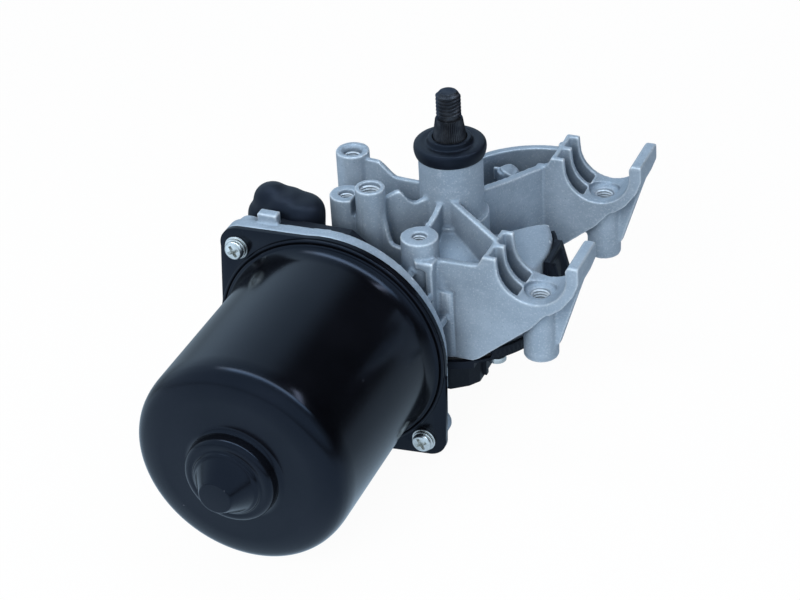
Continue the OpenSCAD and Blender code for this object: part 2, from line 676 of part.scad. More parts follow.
// Moulded cover with its electronics box, side clip, skirt and connector socket
module gear_cover() {
    color([0.04, 0.04, 0.05]) datum() difference() {
        union() {
            up(cover_z - cover_t, cover_z) cover_2d(1.4);
            up(box_z, cover_z - 1) polygon([[-20, -29.6], [9, -29.6], [14, -26], [16.5, -22.5], [16.5, 16], [12.5, 20],
                [-20, 20], [-24, 16], [-24, -25.6]]);
            for (y = [-20, -11, -2, 7]) translate([15.5, y, box_z + 1]) cube([2.3, 1.8, 10]);
            // skirt round the exposed side of the chamber
            intersection() {
                difference() {
                    cyl_z(0, 0, cover_z - 1, -32.8, chamber_r + 1.4);
                    cyl_z(0, 0, cover_z - 0.1, -30, chamber_r + 0.3);
                }
                translate([21.5, -40, -40]) cube([20, 80, 20]);
            }
            intersection() {
                difference() {
                    cyl_z(0, 0, cover_z, -13, chamber_r + 1.7);
                    cyl_z(0, 0, cover_z - 1, -12, chamber_r + 0.3);
                }
                up(-40, -10) polygon([[0, 0], [44, -11], [44, 30]]);
            }
            // upright clip with its two ribs
            translate([chamber_r - 32, 0, 0]) difference() {
                union() {
                    along_y(-8, 10) polygon([[31, -10.4], [33.6, -10.4], [34.4, -13], [36.6, -21], [35.8, -38.5], [31, -38.5]]);
                    for (y = [-5.6, 5.8]) along_y(y, y + 1.8)
                        polygon([[33, -12.4], [34.9, -12.4], [37.2, -21], [36.3, -38.5], [33, -38.5]]);
                }
                cyl_z(32 - chamber_r, 0, cover_z, 0, chamber_r + 0.3);
            }
            // connector socket on the far side of the box
            translate([-12, 19, box_z]) cube([19, 12, -38 - box_z]);
        }
        bell_clear();
        difference() {
            cyl_z(0, 0, -45, cover_z - 0.8, 50);
            cyl_z(0, 0, -46, -30, chamber_r - 1.1);
            translate([-60, -60, -50]) cube([77, 120, 20]);
        }
        up(box_z + 2.4, cover_z + 1) polygon([[-18, -27], [8.2, -27], [12.4, -24], [14, -21.6], [14, 15], [11.4, 17.4],
            [-21.4, 17.4], [-21.4, -22]]);
        translate([-10.4, 21.4, box_z + 1.6]) cube([15.8, 12, -39.6 - box_z - 1.6]);
        for (a = cover_angles) cyl_z(cover_hole_r * cos(a), cover_hole_r * sin(a), -50, -30, 1.9);
        cyl_z(boss_a[0], boss_a[1], -50, -30, 1.9);
        for (x = terminal_x) translate([x - 1.2, 16, terminal_z]) cube([2.4, 8, 0.8]);
    }
}

module cover_gasket() {
    color([0.1, 0.1, 0.1]) datum() difference() {
        union() {
            cyl_z(0, 0, cover_z, floor_z, chamber_r - 0.2);
            cyl_z(boss_a[0], boss_a[1], cover_z, floor_z, 5.3);
            up(cover_z, floor_z) polygon([[-38, -2.4], [-38, 9], [-20, 24.6], [-20, -24.6]]);
        }
        bell_clear();
        cyl_z(0, 0, -40, -30, pit_r + 0.6);
        cyl_y(motor_x, motor_z, -60, 30, 6);
        for (a = cover_angles) cyl_z(cover_hole_r * cos(a), cover_hole_r * sin(a), -50, -30, 1.9);
        cyl_z(boss_a[0], boss_a[1], -50, -30, 1.9);
    }
}

// Sprung park contact on the cover's floor, touching under the disc at radius r
module park_contact(r) {
    color([0.78, 0.5, 0.28]) datum() translate([0, 0, 0]) union() {
        translate([-r - 1, -1, -33.7]) cube([2, 2, 0.25]);
        translate([-r - 1, -1, -36.5]) cube([2, 0.4, 2.9]);
        translate([-r - 1, -1, -36.5]) cube([2, 8, 0.4]);
        translate([-r - 1, 6.6, box_z + 2.4]) cube([2, 0.4, -36.1 - box_z - 2.4]);
    }
}

module park_contact_a() park_contact(8);

module park_contact_b() park_contact(11.6);

module park_contact_c() park_contact(15.2);

// Four blade terminals through the wall of the connector socket
module connector_terminals() {
    color([0.8, 0.8, 0.76]) datum() for (x = terminal_x) union() {
        translate([x - 1.2, 13, terminal_z]) cube([2.4, 15.4, 0.8]);
        translate([x - 0.5, 13, terminal_z + 0.4]) cube([1, 1, 4]);
    }
}

// Pan-head screw up into a housing boss; x, y is its axis
module cover_screw(x, y) {
    union() {
        cyl_z(x, y, cover_z - cover_t - 1.8, cover_z - cover_t, 3);
        cyl_z(x, y, cover_z - cover_t - 0.1, -27, 1.6);
    }
}

module cover_screws() {
    color([0.75, 0.77, 0.8]) datum() union() {
        for (a = cover_angles) cover_screw(cover_hole_r * cos(a), cover_hole_r * sin(a));
        cover_screw(boss_a[0], boss_a[1]);
    }
}

// Pan-head screws with washers that hold the can
module can_screws() {
    color([0.8, 0.83, 0.86]) datum() for (side = [-1, 1]) union() {
        cyl_y(motor_x + side * screw_off, motor_z - side * screw_off, can_front - 0.9, can_front, 4.2);
        cyl_y(motor_x + side * screw_off, motor_z - side * screw_off, can_front - 3.2, can_front - 0.8, 3.3);
        cyl_y(motor_x + side * screw_off, motor_z - side * screw_off, can_front - 1, -35, 2.4);
    }
}

// Plastic bridge over the lead way behind the flange
module lead_cover() {
    color([0.03, 0.03, 0.04]) datum() difference() {
        translate([-44, -38, 0]) cube([30, 5, 8.6]);
        cyl_y(motor_x, motor_z, -60, 0, bell_r);
        along_y(-40, -30) polygon([[-13, 10], [-13, 3], [-22, 10]]);
    }
}

// Rounded rubber lobe from z0 to z1 with the edge radius e
module lobe(x, y, z0, z1, r, e) {
    translate([x, y, z0]) rotate_extrude($fn = 96) union() {
        square([r, z1 - z0 - e]);
        square([r - e, z1 - z0]);
        intersection() {
            translate([r - e, z1 - z0 - e]) circle(r = e, $fn = 64);
            square([r, z1 - z0]);
        }
    }
}

// Rubber boot over the lead exit
module cable_boot() {
    color([0.04, 0.05, 0.07]) datum() difference() {
        union() {
            lobe(-40.5, -26.5, -4, 14.5, 8.8, 7);
            lobe(-49.4, -25, -4, 13.8, 7.6, 7);
            lobe(-53.4, -25, -2, 9, 6.2, 5);
        }
        cyl_y(motor_x, motor_z, -60, bell_back + 0.3, bell_r + 0.3);
        cyl_y(motor_x - screw_off, motor_z + screw_off, -40, -32.2, 5.3);
        translate([-44.3, -38.3, -0.3]) cube([30.6, 5.6, 9.2]);
    }
}

gear_housing();
motor_can();
magnet_left();
magnet_right();
rear_retainer();
rear_bush();
thrust_button();
front_bush();
worm_end_bush();
thrust_screw();
brush_plate();
brush_low();
brush_common();
brush_high();
brush_spring_low();
brush_spring_common();
brush_spring_high();
choke_low();
choke_high();
circuit_breaker();
armature_shaft();
worm();
armature_core();
armature_winding();
commutator();
worm_wheel();
output_shaft();
contact_disc();
retaining_ring();
thrust_washer();
tower_bush_upper();
tower_bush_lower();
seal_cap();
gear_cover();
cover_gasket();
park_contact_a();
park_contact_b();
park_contact_c();
connector_terminals();
cover_screws();
can_screws();
lead_cover();
cable_boot();
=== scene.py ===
from math import atan2, cos, hypot, pi, radians, sin

import bmesh
import bpy
from mathutils import Matrix, Vector


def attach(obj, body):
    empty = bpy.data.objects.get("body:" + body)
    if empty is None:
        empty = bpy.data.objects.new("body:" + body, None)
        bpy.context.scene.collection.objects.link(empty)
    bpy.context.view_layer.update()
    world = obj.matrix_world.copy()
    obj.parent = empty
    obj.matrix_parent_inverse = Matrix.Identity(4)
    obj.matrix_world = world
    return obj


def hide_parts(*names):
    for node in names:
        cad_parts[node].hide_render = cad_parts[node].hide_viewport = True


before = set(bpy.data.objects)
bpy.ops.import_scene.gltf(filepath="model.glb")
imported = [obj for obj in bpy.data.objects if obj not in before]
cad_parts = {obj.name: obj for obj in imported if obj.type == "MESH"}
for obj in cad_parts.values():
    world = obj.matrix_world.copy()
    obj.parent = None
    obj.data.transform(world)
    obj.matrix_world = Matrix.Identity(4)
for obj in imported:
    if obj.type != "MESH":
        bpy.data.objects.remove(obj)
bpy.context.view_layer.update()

MM = 0.001
# Tint of what the black finishes mirror head-on; at a grazing angle they mirror white
BLUE_GLOSS = (0.44, 0.54, 0.74)
# Colour of the white studio in reflections
DAYLIGHT = (0.64, 0.86, 1.08)
# Places and sizes are in millimetres, and heights start at the foot of the spindle thread
# Motor axis
MOTOR_X, MOTOR_Z = -25.0, -62.6
# Front and back of the can's flange plate
FLANGE_FRONT, FLANGE_BACK = -44.4, -42.8
# Radius of the can and the place of its closed end
CAN_R, CAN_END = 34.5, -114.3
# Distance of the flange screws from the motor axis, both sideways and up or down
SCREW_OFF = 30.3
# Radius and roof height of the gear chamber, and the rounding of its rim
RIM_R, RIM_Z, RIM_ROUND = 32.0, -44.6, 2.3
# Middles of the four fixing bosses
LEFT_BOSS, CUT_BOSS = (-35.6, 3.3), (-28.6, -18.2)
TALL_BOSS, FRONT_BOSS = (-19.4, -20.2), (-0.4, -27.0)
# Middles of the clamp holes in the two cradles
NEAR_CLAMP, FAR_CLAMP = (37.1, -21.1), (37.1, 43.3)
# Height of the floor, just under the lowest point
FLOOR_Z = -101.4
# The photo's camera: its direction and roll in degrees, the point it aims at and the distance to it
AZIMUTH, ELEVATION, ROLL = 24.25, 33.17, -3.35
AIM, DISTANCE = (14.65, -77.77, -17.05), 614.54
# Its focal length and the width of the photo in pixels
FOCAL_PX, PHOTO_WIDTH_PX = 2142.32, 800.0


# Shader helpers
class Socket:
    """A socket that takes part in sums; each sum adds its Math node."""

    def __init__(self, paint, link):
        self.paint = paint
        self.link = link

    def math(self, operation, *values):
        return self.paint.node("ShaderNodeMath", values, operation=operation)

    def __add__(self, other):
        return self.math("ADD", self, other)

    __radd__ = __add__

    def __mul__(self, other):
        return self.math("MULTIPLY", self, other)

    def __sub__(self, other):
        return self.math("SUBTRACT", self, other)

    def __rsub__(self, other):
        return self.math("SUBTRACT", other, self)

    def ramp(self, low, high):
        """0 below low, 1 above high, smooth in between."""
        return self.paint.node("ShaderNodeMapRange", {0: self, 1: low, 2: high, 3: 0.0, 4: 1.0},
                               interpolation_type="SMOOTHSTEP", clamp=True)


class Nodes:
    """Adds nodes to one tree."""

    def __init__(self, tree, place):
        self.tree = tree
        self.place = Socket(self, tree.nodes.new("ShaderNodeTexCoord").outputs[place])

    def node(self, kind, values=(), output=0, **settings):
        """Any node: its settings first, then the values or links of its sockets."""
        made = self.tree.nodes.new(kind)
        for key, value in settings.items():
            setattr(made, key, value)
        pairs = values.items() if isinstance(values, dict) else enumerate(values)
        for key, value in pairs:
            if isinstance(value, Socket):
                self.tree.links.new(value.link, made.inputs[key])
            elif isinstance(value, tuple) and len(value) == 3 and made.inputs[key].type == "RGBA":
                made.inputs[key].default_value = (*value, 1.0)
            else:
                made.inputs[key].default_value = value
        return Socket(self, made.outputs[output])

    def ray(self, *kinds):
        """1 for the rays of these kinds."""
        path = self.tree.nodes.new("ShaderNodeLightPath")
        total = Socket(self, path.outputs[kinds[0]])
        for kind in kinds[1:]:
            total = self.math("MAXIMUM", total, Socket(self, path.outputs[kind]))
        return total

    def math(self, operation, *values):
        return self.node("ShaderNodeMath", values, operation=operation)

    def stretched(self, scale, turn=(0.0, 0.0, 0.0)):
        """Object coordinates, stretched and turned."""
        values = {"Vector": self.place, "Rotation": turn, "Scale": scale}
        return self.node("ShaderNodeMapping", values, vector_type="POINT")

    def noise(self, scale, detail=3.0, rough=0.5, at=None):
        values = {"Vector": at or self.place, "Scale": scale, "Detail": detail, "Roughness": rough}
        return self.node("ShaderNodeTexNoise", values)

    def pointed(self, low, high):
        """0 to 1 with how far the surface bulges, from its own shape."""
        return self.node("ShaderNodeNewGeometry", output="Pointiness").ramp(low, high)

    def pits(self, scale):
        """0 at scattered points, more between them."""
        return self.node("ShaderNodeTexVoronoi", {"Vector": self.place, "Scale": scale}, feature="F1")

    def blend(self, amount, first, second):
        return self.node("ShaderNodeMix", {0: amount, 6: first, 7: second}, output=2, data_type="RGBA",
                         clamp_factor=True)

    def rounded_normal(self, radius, samples=4):
        """The normal as it would be with every edge rounded."""
        return self.node("ShaderNodeBevel", {"Radius": radius}, samples=samples)

    def cavity(self, reach):
        """1 in the open, less in hollows and between close walls."""
        return self.node("ShaderNodeAmbientOcclusion", {"Distance": reach}, output=1, samples=6)

    def edge_mask(self, rounded, low, high):
        """1 on outward and into_band edges, 0 on plain faces."""
        true_normal = self.node("ShaderNodeNewGeometry", output=1)
        same = self.node("ShaderNodeVectorMath", [rounded, true_normal], output=1, operation="DOT_PRODUCT")
        return (1.0 - same).ramp(low, high)

    def bump(self, height, distance, normal=None, strength=1.0):
        values = {"Height": height, "Distance": distance, "Strength": strength}
        if normal is not None:
            values["Normal"] = normal
        return self.node("ShaderNodeBump", values)


class Paint(Nodes):
    """A material built from one Principled shader."""

    def __init__(self, name, color, roughness, metallic=0.0, specular=0.5, coat=0.0, coat_roughness=0.1,
                 gloss=(1.0, 1.0, 1.0)):
        self.material = bpy.data.materials.new(name)
        self.material.use_nodes = True
        super().__init__(self.material.node_tree, "Object")
        self.shader = self.tree.nodes["Principled BSDF"]
        inputs = self.shader.inputs
        inputs["Base Color"].default_value = (*color, 1.0)
        inputs["Roughness"].default_value = roughness
        inputs["Metallic"].default_value = metallic
        inputs["Specular IOR Level"].default_value = specular
        inputs["Specular Tint"].default_value = (*gloss, 1.0)
        inputs["Coat Weight"].default_value = coat
        inputs["Coat Roughness"].default_value = coat_roughness

    def set(self, socket, value):
        self.tree.links.new(value.link, self.shader.inputs[socket])


def cast_alloy():
    p = Paint("cast_alloy", (0.29, 0.375, 0.47), 0.48, metallic=0.35, specular=0.5)
    # Bulging edges are lightened: partly chipped bare metal, partly a painted highlight along the edges
    chips_and_glints = p.noise(900.0, 3.0, 0.6)
    edges = p.pointed(0.508, 0.565) * (chips_and_glints.ramp(0.25, 0.6) * 0.5 + 0.5)
    # Painted shade in creases and inside corners
    corners = 1.0 - p.pointed(0.41, 0.49)
    # Painted shade in hollows and between close walls, taken from the occlusion node
    hollow = 1.0 - p.cavity(14.0 * MM).ramp(0.12, 0.95)
    cloud = p.noise(55.0, 4.0, 0.6)
    flow = p.noise(240.0, 3.0, 0.6, p.stretched((1.0, 0.55, 1.7)))
    grain = p.noise(1500.0, 2.0, 0.6)
    pores = 1.0 - p.pits(620.0).ramp(0.06, 0.16)
    shade = p.blend(cloud.ramp(0.3, 0.75), (0.275, 0.35, 0.435), (0.375, 0.46, 0.555))
    shade = p.blend(flow.ramp(0.45, 0.8) * 0.4, shade, (0.43, 0.51, 0.60))
    shade = p.blend(grain.ramp(0.52, 0.72) * 0.45, shade, (0.58, 0.65, 0.72))
    shade = p.blend(pores * cloud.ramp(0.45, 0.6) * 0.5, shade, (0.11, 0.145, 0.185))
    # Painted shade in the hollows
    shade = p.blend(hollow * 0.62, shade, (0.075, 0.10, 0.135))
    # Painted shade in the creases
    shade = p.blend(corners * 0.5, shade, (0.12, 0.155, 0.20))
    # Edges lightened: chipped metal and painted highlight together
    shade = p.blend(edges * 0.75, shade, (0.74, 0.81, 0.87))
    p.set("Base Color", shade)
    p.set("Roughness", 0.36 + grain * 0.2 + cloud * 0.1 - edges * 0.08)
    height = grain * 0.7 + flow * 0.8 - pores * 0.7
    p.set("Normal", p.bump(height, 0.07 * MM))
    return p.material


def black_coating():
    p = Paint("black_coating", (0.003, 0.0035, 0.005), 0.2, specular=0.38, gloss=BLUE_GLOSS)
    cloud = p.noise(38.0, 3.0, 0.5)
    peel = p.noise(420.0, 2.0, 0.5)
    dust = 1.0 - p.pits(170.0).ramp(0.02, 0.045)
    shade = p.blend(cloud.ramp(0.3, 0.7), (0.0018, 0.002, 0.003), (0.0036, 0.004, 0.006))
    shade = p.blend(dust * p.noise(90.0).ramp(0.55, 0.62) * 0.8, shade, (0.09, 0.10, 0.12))
    p.set("Base Color", shade)
    p.set("Roughness", 0.15 + cloud * 0.08 + dust * 0.2)
    p.set("Normal", p.bump(peel, 0.02 * MM, None, 0.35))
    return p.material


def black_moulding():
    p = Paint("black_moulding", (0.005, 0.006, 0.009), 0.48, specular=0.36, gloss=BLUE_GLOSS)
    rounded = p.rounded_normal(0.4 * MM)
    # Painted highlight: edges, both bulging and inside ones, are made lighter
    edges = p.edge_mask(rounded, 0.02, 0.3)
    cloud = p.noise(70.0, 3.0, 0.6)
    grain = p.noise(1500.0, 2.0, 0.6)
    shade = p.blend(cloud.ramp(0.3, 0.7), (0.003, 0.0035, 0.005), (0.006, 0.007, 0.010))
    # Painted highlight along the edges
    shade = p.blend(edges * 0.6, shade, (0.022, 0.027, 0.036))
    p.set("Base Color", shade)
    p.set("Roughness", 0.40 + grain * 0.16 + cloud * 0.06)
    p.set("Normal", p.bump(grain, 0.03 * MM, rounded, 0.6))
    return p.material


def soft_rubber():
    p = Paint("soft_rubber", (0.004, 0.005, 0.009), 0.42, specular=0.40, gloss=BLUE_GLOSS)
    cloud = p.noise(90.0, 3.0, 0.5)
    skin = p.noise(900.0, 3.0, 0.6)
    dust = 1.0 - p.pits(300.0).ramp(0.02, 0.06)
    shade = p.blend(cloud.ramp(0.3, 0.7), (0.0025, 0.0035, 0.006), (0.006, 0.0075, 0.012))
    shade = p.blend(dust * 0.35, shade, (0.05, 0.058, 0.07))
    p.set("Base Color", shade)
    p.set("Roughness", 0.36 + cloud * 0.12 + skin * 0.08)
    p.set("Normal", p.bump(skin, 0.03 * MM, None, 0.5))
    return p.material


def bright_zinc():
    p = Paint("bright_zinc", (0.92, 0.86, 0.77), 0.24, metallic=1.0)
    cloud = p.noise(400.0, 3.0, 0.6)
    scratch = p.noise(1500.0, 3.0, 0.7, p.stretched((0.2, 1.0, 1.6), (0.3, 0.5, 0.9)))
    shade = p.blend(cloud.ramp(0.35, 0.7), (0.70, 0.69, 0.65), (0.98, 0.96, 0.92))
    p.set("Base Color", shade)
    p.set("Roughness", 0.16 + cloud * 0.14 + scratch * 0.12)
    p.set("Normal", p.bump(cloud * 0.7 + scratch * 0.3, 0.05 * MM, None, 0.6))
    return p.material


def black_steel():
    p = Paint("black_steel", (0.02, 0.024, 0.032), 0.34, metallic=0.65, specular=0.4, gloss=BLUE_GLOSS)
    cloud = p.noise(260.0, 3.0, 0.6)
    turned = p.noise(1200.0, 2.0, 0.5, p.stretched((0.12, 0.12, 3.0)))
    shade = p.blend(cloud.ramp(0.35, 0.75), (0.022, 0.024, 0.029), (0.06, 0.064, 0.072))
    p.set("Base Color", shade)
    p.set("Roughness", 0.27 + cloud * 0.16)
    p.set("Normal", p.bump(turned + cloud * 0.5, 0.03 * MM, None, 0.5))
    return p.material


def turned_metal(name, dark, light, axis, roughness, pores=0.0, lines=1800.0):
    """Metal with fine rings about the axis, as a lathe tool leaves them."""
    p = Paint(name, light, roughness, metallic=1.0)
    squeeze = [0.08, 0.08, 0.08]
    squeeze["XYZ".index(axis)] = 3.0
    cloud = p.noise(220.0, 3.0, 0.6)
    rings = p.noise(lines, 2.0, 0.5, p.stretched(tuple(squeeze)))
    shade = p.blend((cloud * 0.6 + rings * 0.4).ramp(0.3, 0.7), dark, light)
    height = rings
    if pores:
        holes = 1.0 - p.pits(1100.0).ramp(0.08, 0.2)
        shade = p.blend(holes * pores, shade, tuple(c * 0.25 for c in dark))
        height = rings - holes
    p.set("Base Color", shade)
    p.set("Roughness", roughness + cloud * 0.12)
    p.set("Normal", p.bump(height, 0.03 * MM, None, 0.6))
    return p.material


def copper_wire():
    p = Paint("copper_wire", (0.52, 0.20, 0.07), 0.28, metallic=0.9, coat=0.5, coat_roughness=0.15)
    turns = {"Vector": p.place, "Scale": 420.0, "Distortion": 1.2, "Detail": 2.0}
    strands = p.node("ShaderNodeTexWave", turns, wave_type="BANDS", bands_direction="DIAGONAL")
    cloud = p.noise(160.0, 3.0, 0.6)
    shade = p.blend(cloud.ramp(0.3, 0.7), (0.40, 0.13, 0.045), (0.62, 0.27, 0.10))
    p.set("Base Color", p.blend(1.0 - strands.ramp(0.0, 0.35), shade, (0.10, 0.03, 0.012)))
    p.set("Roughness", 0.22 + cloud * 0.12)
    p.set("Normal", p.bump(strands, 0.12 * MM, None, 0.8))
    return p.material


def laminations():
    p = Paint("laminations", (0.22, 0.23, 0.25), 0.42, metallic=0.85)
    sheets = p.node("ShaderNodeTexWave", {"Vector": p.place, "Scale": 320.0}, wave_type="BANDS",
                    bands_direction="Y")
    cloud = p.noise(180.0, 3.0, 0.6)
    shade = p.blend(cloud.ramp(0.3, 0.7), (0.16, 0.165, 0.18), (0.30, 0.31, 0.33))
    p.set("Base Color", p.blend(1.0 - sheets.ramp(0.0, 0.3), shade, (0.05, 0.045, 0.04)))
    p.set("Roughness", 0.34 + cloud * 0.16)
    p.set("Normal", p.bump(sheets, 0.06 * MM, None, 0.7))
    return p.material


def dull_solid(name, dark, light, roughness, grain, metallic=0.0, specular=0.4, flecks=None):
    """Pressed, moulded or sintered stuff with a fine grain and, where given, small flecks."""
    p = Paint(name, light, roughness, metallic=metallic, specular=specular)
    cloud = p.noise(130.0, 4.0, 0.6)
    fine = p.noise(grain, 3.0, 0.6)
    shade = p.blend((cloud * 0.6 + fine * 0.4).ramp(0.35, 0.65), dark, light)
    if flecks:
        shade = p.blend((1.0 - p.pits(grain).ramp(0.05, 0.2)) * 0.8, shade, flecks)
    p.set("Base Color", shade)
    p.set("Roughness", roughness + fine * 0.14)
    p.set("Normal", p.bump(fine, 0.03 * MM, None, 0.7))
    return p.material


# Mesh helpers
def profile_wire(bm, points):
    """A wire in the XZ plane through (a, b, rounding) points; a rounding is the length cut off each side."""
    verts = [bm.verts.new((a * MM, 0.0, b * MM)) for a, b, _ in points]
    for pair in zip(verts, verts[1:]):
        bm.edges.new(pair)
    for vert, (_, _, rounding) in zip(verts, points):
        if rounding:
            bmesh.ops.bevel(bm, geom=[vert], offset=rounding * MM, offset_type="OFFSET", segments=5,
                            profile=0.5, affect="VERTICES", clamp_overlap=True, material=-1)


def spun(bm, points, steps):
    """Turns a radius, height profile about +Z into a closed shape."""
    profile_wire(bm, points)
    bmesh.ops.spin(bm, geom=bm.verts[:] + bm.edges[:], cent=(0, 0, 0), axis=(0, 0, 1), angle=2 * pi,
                   steps=steps, use_merge=True, use_duplicate=False)
    bmesh.ops.remove_doubles(bm, verts=bm.verts[:], dist=0.002 * MM)


def close_up(bm):
    """Fills what is open, merges what meets and turns the faces outwards."""
    bmesh.ops.remove_doubles(bm, verts=bm.verts[:], dist=0.002 * MM)
    bmesh.ops.dissolve_degenerate(bm, edges=bm.edges[:], dist=0.001 * MM)
    open_edges = [e for e in bm.edges if e.is_boundary]
    if open_edges:
        bmesh.ops.holes_fill(bm, edges=open_edges, sides=0)
    bmesh.ops.recalc_face_normals(bm, faces=bm.faces[:])


def to_motor(bm, y, x=MOTOR_X, z=MOTOR_Z):
    """Lays a shape spun about +Z along -Y, parallel to the motor axis, with its zero height at y."""
    bmesh.ops.rotate(bm, verts=bm.verts[:], cent=(0, 0, 0), matrix=Matrix.Rotation(pi / 2, 3, "X"))
    bmesh.ops.translate(bm, verts=bm.verts[:], vec=(x * MM, y * MM, z * MM))


def joined(bm, part):
    """Adds a part to a bmesh and frees the part."""
    mesh = bpy.data.meshes.new("joining")
    part.to_mesh(mesh)
    part.free()
    bm.from_mesh(mesh)
    bpy.data.meshes.remove(mesh)


def piece(bm, name, body, material, replaces, smooth):
    """Makes the finished object: edges sharper than smooth degrees stay sharp."""
    mesh = bpy.data.meshes.new(name)
    bm.to_mesh(mesh)
    bm.free()
    mesh.shade_smooth()
    mesh.set_sharp_from_angle(angle=radians(smooth))
    made = bpy.data.objects.new(name, mesh)
    bpy.context.scene.collection.objects.link(made)
    made.data.materials.append(material)
    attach(made, body)
    if replaces:
        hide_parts(*replaces)


def merged_copy(node):
    """A copy of the CAD node's mesh with its loose triangles joined at their corners."""
    bm = bmesh.new()
    bm.from_mesh(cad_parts[node].data)
    bmesh.ops.remove_doubles(bm, verts=bm.verts[:], dist=0.003 * MM)
    bmesh.ops.dissolve_degenerate(bm, edges=bm.edges[:], dist=0.002 * MM)
    return bm


# Finishes
CAST = cast_alloy()
COATING = black_coating()
MOULDING = black_moulding()
RUBBER = soft_rubber()
ZINC = bright_zinc()
BLACK_STEEL = black_steel()
BRONZE = turned_metal("oiled_bronze", (0.26, 0.16, 0.07), (0.42, 0.28, 0.13), "Y", 0.34, pores=0.8)
TOWER_BRONZE = turned_metal("tower_bronze", (0.26, 0.16, 0.07), (0.42, 0.28, 0.13), "Z", 0.34, pores=0.8)
GROUND_STEEL = turned_metal("ground_steel", (0.34, 0.36, 0.39), (0.52, 0.54, 0.57), "Y", 0.2)
SPRING_STEEL = turned_metal("spring_steel", (0.30, 0.31, 0.33), (0.55, 0.56, 0.58), "Z", 0.22, lines=900.0)
COMMUTATOR = turned_metal("commutator_copper", (0.42, 0.18, 0.08), (0.66, 0.34, 0.18), "Y", 0.22)
BRASS = turned_metal("contact_brass", (0.42, 0.28, 0.08), (0.62, 0.45, 0.17), "Z", 0.24, lines=700.0)
TINNED = turned_metal("tinned_brass", (0.48, 0.48, 0.44), (0.68, 0.68, 0.64), "Y", 0.26, lines=700.0)
WIRE = copper_wire()
SHEETS = laminations()
FERRITE = dull_solid("ferrite", (0.035, 0.035, 0.038), (0.075, 0.075, 0.08), 0.55, 700.0, metallic=0.2)
ACETAL = dull_solid("white_acetal", (0.70, 0.68, 0.60), (0.82, 0.80, 0.73), 0.34, 1400.0, specular=0.5)
CARBON = dull_solid("brush_carbon", (0.018, 0.017, 0.017), (0.045, 0.042, 0.04), 0.5, 1600.0,
                    flecks=(0.35, 0.17, 0.08))
BREAKER = dull_solid("breaker_case", (0.34, 0.25, 0.13), (0.52, 0.42, 0.25), 0.5, 800.0)
SEAL = dull_solid("pressed_seal", (0.018, 0.018, 0.02), (0.045, 0.045, 0.047), 0.7, 1000.0)

NODE_FINISH = {
    "magnet_left": FERRITE, "magnet_right": FERRITE, "rear_bush": BRONZE, "thrust_button": ACETAL,
    "front_bush": BRONZE, "worm_end_bush": BRONZE, "thrust_screw": ZINC, "brush_plate": MOULDING,
    "brush_low": CARBON, "brush_common": CARBON, "brush_high": CARBON, "brush_spring_low": SPRING_STEEL,
    "brush_spring_common": SPRING_STEEL, "brush_spring_high": SPRING_STEEL, "choke_low": WIRE,
    "choke_high": WIRE, "circuit_breaker": BREAKER, "armature_shaft": GROUND_STEEL, "worm": GROUND_STEEL,
    "armature_core": SHEETS, "armature_winding": WIRE, "commutator": COMMUTATOR, "worm_wheel": ACETAL,
    "contact_disc": BRASS, "retaining_ring": SPRING_STEEL, "thrust_washer": ZINC,
    "tower_bush_upper": TOWER_BRONZE, "tower_bush_lower": TOWER_BRONZE, "cover_gasket": SEAL,
    "park_contact_a": BRASS, "park_contact_b": BRASS, "park_contact_c": BRASS,
    "connector_terminals": TINNED, "cover_screws": ZINC, "rear_retainer": ZINC,
}
for node_name, finish in NODE_FINISH.items():
    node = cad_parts[node_name]
    if not node.material_slots:
        node.data.materials.append(finish)
    for slot in node.material_slots:
        slot.material = finish


# Castings and mouldings
def one_skin(bm, voxel, passes, most=None):
    """Wraps closed shapes in one even skin, eases its edges and corners and thins it to most triangles."""
    mesh = bpy.data.meshes.new("blank")
    bm.to_mesh(mesh)
    bm.free()
    blank = bpy.data.objects.new("blank", mesh)
    bpy.context.scene.collection.objects.link(blank)
    wrap = blank.modifiers.new("wrap", "REMESH")
    wrap.mode = "VOXEL"
    wrap.voxel_size = voxel * MM
    ease = blank.modifiers.new("ease", "SMOOTH")
    ease.factor = 0.5
    ease.iterations = passes
    bpy.context.view_layer.update()
    depsgraph = bpy.context.evaluated_depsgraph_get()
    if most:
        faces = len(blank.evaluated_get(depsgraph).data.polygons)
        thin = blank.modifiers.new("thin", "DECIMATE")
        thin.ratio = min(1.0, most / (2 * faces))
        bpy.context.view_layer.update()
        depsgraph = bpy.context.evaluated_depsgraph_get()
    skin = bpy.data.meshes.new_from_object(blank.evaluated_get(depsgraph))
    bpy.data.objects.remove(blank)
    result = bmesh.new()
    result.from_mesh(skin)
    bpy.data.meshes.remove(skin)
    return result


def round_rim(bm):
    """Rounds the outer rim of the gear chamber's cone roof."""
    # The last band of the roof sinks to the rim's height: its width, the part of it over which it goes
    # down, and the height and slope under which a point belongs to the roof and not to what stands on it
    band, sinks_over, height, slope = 6.0, 3.2, 2.8, 0.44
    for vert in bm.verts:
        x, y, z = vert.co / MM
        spread = hypot(x, y)
        into_band = spread - (RIM_R - band)
        if into_band < 0 or spread > RIM_R + 0.3 or not RIM_Z - RIM_ROUND < z < RIM_Z + 3.0:
            continue
        out = Vector((x / spread, y / spread, 0))
        across = abs(vert.normal.dot(Vector((-out.y, out.x, 0))))
        # Walls that cross the rim and faces that look down or into_bands keep their shape
        if across > 0.5 or vert.normal.z < -0.1 or vert.normal.dot(out) < -0.1:
            continue
        share = min(1.0, 2.0 - 4.0 * across)
        above = z - RIM_Z
        if 0 < above < height - into_band * slope and spread < RIM_R + 0.1:
            z -= above * min(1.0, into_band / sinks_over) * share
        side, rise = spread - (RIM_R - RIM_ROUND), z - (RIM_Z - RIM_ROUND)
        reach = hypot(side, rise)
        if side > 0 and rise > 0 and reach > RIM_ROUND:
            pull = 1.0 + (RIM_ROUND / reach - 1.0) * share
            spread = RIM_R - RIM_ROUND + side * pull
            z = RIM_Z - RIM_ROUND + rise * pull
        vert.co = Vector((out.x * spread, out.y * spread, z)) * MM


